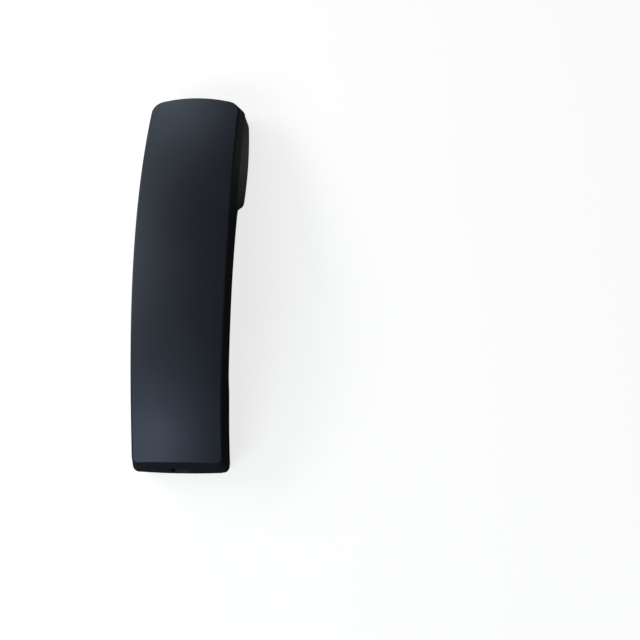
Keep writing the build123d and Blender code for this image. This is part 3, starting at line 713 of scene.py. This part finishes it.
solder_sizes = {"Foot radius": 1.15 * MM, "Wire radius": 0.78 * MM, "Height": 0.9 * MM, "Hollow": 0.5}
settle(grow("solder_joints", build_solder_tree(), solder_sizes, joints), "nickel")

# %% [markdown]
# ## Camera
#
# The portrait looks down on the handset from its lower right, with a lens of about 50 mm. The place was
# found by matching the handset's edges with those in the picture. The camera is built from the
# direction it looks in and the direction that is up in the picture, which is easier to reason about
# than three angles.

# %% Camera
camera_place = Vector((86.5, -136.7, 451.0)) * MM
aim = Vector((67.9, -26.8, 30.0)) * MM
page_up = Vector((-0.0155, 1.0, 0.0))
forward = (aim - camera_place).normalized()
right = forward.cross(page_up).normalized()
up = right.cross(forward)
camera_data = bpy.data.cameras.new("camera")
camera_data.lens = 50.2
camera_data.sensor_width = 36.0
camera = bpy.data.objects.new("camera", camera_data)
camera.matrix_world = Matrix.Translation(camera_place) @ Matrix((right, up, -forward)).transposed().to_4x4()
bpy.context.scene.collection.objects.link(camera)
bpy.context.scene.camera = camera
print("camera at", [round(value / MM, 1) for value in camera_place], "mm")

# %% [markdown]
# ## Floor
#
# A pale floor suits a dark object, but it also throws light back up at it and turns its black sides
# grey. Photographers put dark cards just outside the picture to stop that. Here the floor does it by
# itself: a Light Path node tells a ray that comes from the camera from one that comes from the
# handset, so the floor looks white and reflects like a dark card. The part that the camera sees also
# glows a little, which keeps it an even white far from the lamps.
#
# The ear block's side leans out, and from above it mirrors the strip of floor at its own foot. On a
# dark card alone it would be lost in black, so the card has one soft oval of painted light beside the
# ear block: a glow that no lamp gives and only the handset sees.


# %% Floor
floor_half = 6.0  # metres from the middle to the edge
floor_colour = (0.30, 0.285, 0.27, 1)
floor_rough = 0.9
floor_shine = 0.1
floor_glow = 0.78
card_colour = (0.08, 0.08, 0.08, 1)
# A glowing oval of painted light on the card beside the ear block, which only the handset sees.
glow_place = Vector((31, 74, 0)) * MM  # beside the ear block
glow_reach = Vector((17, 38, 17)) * MM
glow_strength = 0.19
glow_colour = (1.0, 0.95, 1.0, 1)


def build_floor():
    mesh = bpy.data.meshes.new("floor")
    signs = [(-1, -1), (1, -1), (1, 1), (-1, 1)]
    corners = [(x * floor_half, y * floor_half, 0) for x, y in signs]
    mesh.from_pydata(corners, [], [(0, 1, 2, 3)])
    floor = bpy.data.objects.new("floor", mesh)
    bpy.context.scene.collection.objects.link(floor)
    material = bpy.data.materials.new("pale floor")
    material.use_nodes = True
    tree = material.node_tree
    seen = tree.nodes["Principled BSDF"]
    seen.inputs["Base Color"].default_value = floor_colour
    seen.inputs["Emission Color"].default_value = (1, 1, 1, 1)
    seen.inputs["Emission Strength"].default_value = floor_glow
    seen.inputs["Roughness"].default_value = floor_rough
    seen.inputs["Specular IOR Level"].default_value = floor_shine
    card = add(tree, "ShaderNodeBsdfDiffuse", {"Color": card_colour})
    place = add(tree, "ShaderNodeTexCoord").outputs["Object"]
    offset = add(tree, "ShaderNodeVectorMath", {0: place, 1: glow_place}, operation="SUBTRACT").outputs[0]
    shares = add(tree, "ShaderNodeVectorMath", {0: offset, 1: glow_reach}, operation="DIVIDE").outputs[0]
    from_glow = add(tree, "ShaderNodeVectorMath", {0: shares}, operation="LENGTH").outputs["Value"]
    falloff = add(tree, "ShaderNodeMapRange", {"Value": from_glow, "To Min": glow_strength, "To Max": 0.0})
    glow = add(tree, "ShaderNodeEmission", {"Color": glow_colour, "Strength": falloff.outputs["Result"]})
    # The dark card plus its oval of painted glow.
    card_and_painted_glow = add(tree, "ShaderNodeAddShader", {0: card.outputs[0], 1: glow.outputs[0]})
    ray = add(tree, "ShaderNodeLightPath")
    mix_inputs = {0: ray.outputs["Is Camera Ray"], 1: card_and_painted_glow.outputs[0], 2: seen.outputs[0]}
    both = add(tree, "ShaderNodeMixShader", mix_inputs)
    tree.links.new(both.outputs[0], tree.nodes["Material Output"].inputs["Surface"])
    mesh.materials.append(material)


build_floor()
print("floor ready")

# %% [markdown]
# ## Light
#
# In the portrait the left edge is the lightest, both ends brighten, and the right half falls off to
# near black. A curved, half matt form mirrors each direction as a wide soft patch. Working out which
# direction each patch mirrors says where lamps belong: panels to the left, panels low behind the ear
# end and high before the mouth end, and only weak ones to the right. Their strengths come from
# lighting the handset with one lamp at a time and finding the mix that adds up to the picture's tones,
# which works because light simply adds.


# %% Lamps
lamp_aim = Vector((0, 0, 30 * MM))
cool_white = (0.88, 0.96, 1.0)
green_white = (0.90, 0.98, 0.95)
blue_white = (0.80, 0.92, 1.0)
warm_white = (1.0, 0.95, 0.9)


def soft_lamp(name, place, size, strength, colour):
    """Area lamp that faces the handset; strength is its brightness, whatever its size."""
    data = bpy.data.lights.new(name, "AREA")
    data.shape = "RECTANGLE"
    data.size, data.size_y = size
    data.energy = strength * pi * size[0] * size[1]
    data.color = colour
    lamp = bpy.data.objects.new(name, data)
    lamp.location = place
    lamp.rotation_euler = (lamp_aim - Vector(place)).to_track_quat("-Z", "Y").to_euler()
    bpy.context.scene.collection.objects.link(lamp)


soft_lamp("left edge", (-0.9, 0.2, 0.7), (0.5, 0.4), 8.6, green_white)
soft_lamp("left behind", (-0.85, 0.6, 0.65), (0.5, 0.4), 4.8, green_white)
soft_lamp("left top", (-0.35, 0.25, 1.1), (0.4, 0.4), 1.5, green_white)
soft_lamp("ear end left", (-0.6, 1.1, 0.3), (0.6, 0.3), 3.9, blue_white)
soft_lamp("ear end middle", (-0.2, 1.15, 0.35), (0.4, 0.3), 4.2, blue_white)
soft_lamp("mouth end left", (-0.55, -0.7, 0.75), (0.5, 0.4), 8.4, blue_white)
soft_lamp("mouth end middle", (-0.2, -0.75, 0.9), (0.4, 0.4), 4.4, blue_white)
soft_lamp("right fill", (0.6, 0.2, 1.0), (0.5, 1.0), 0.28, cool_white)
soft_lamp("right flank", (1.0, 0.25, 0.25), (0.8, 0.35), 0.5, warm_white)

# %% [markdown]
# ## Sky
#
# A white studio round the handset would fill in the dark right half. So the sky plays the floor's trick:
# the camera sees it as bright as the floor's far edge, and the handset gets hardly any light from it.

# %% Sky
sky_light = 0.03
sky_seen = floor_glow + 0.02  # so the floor's far edge melts into it
sky_colour = (0.98, 0.99, 1.0, 1)


def build_world():
    """Bright to the camera, dim to the handset."""
    world = bpy.data.worlds.new("studio")
    world.use_nodes = True
    tree = world.node_tree
    ray = add(tree, "ShaderNodeLightPath")
    strength = add(tree, "ShaderNodeMapRange", {"Value": ray.outputs["Is Camera Ray"]})
    fill(tree, strength, {"To Min": sky_light, "To Max": sky_seen})
    background = tree.nodes["Background"]
    background.inputs["Color"].default_value = sky_colour
    tree.links.new(strength.outputs["Result"], background.inputs["Strength"])
    bpy.context.scene.world = world


build_world()
bpy.context.scene.view_settings.view_transform = "Standard"
print("sky seen:", sky_seen, "sky's light:", sky_light)
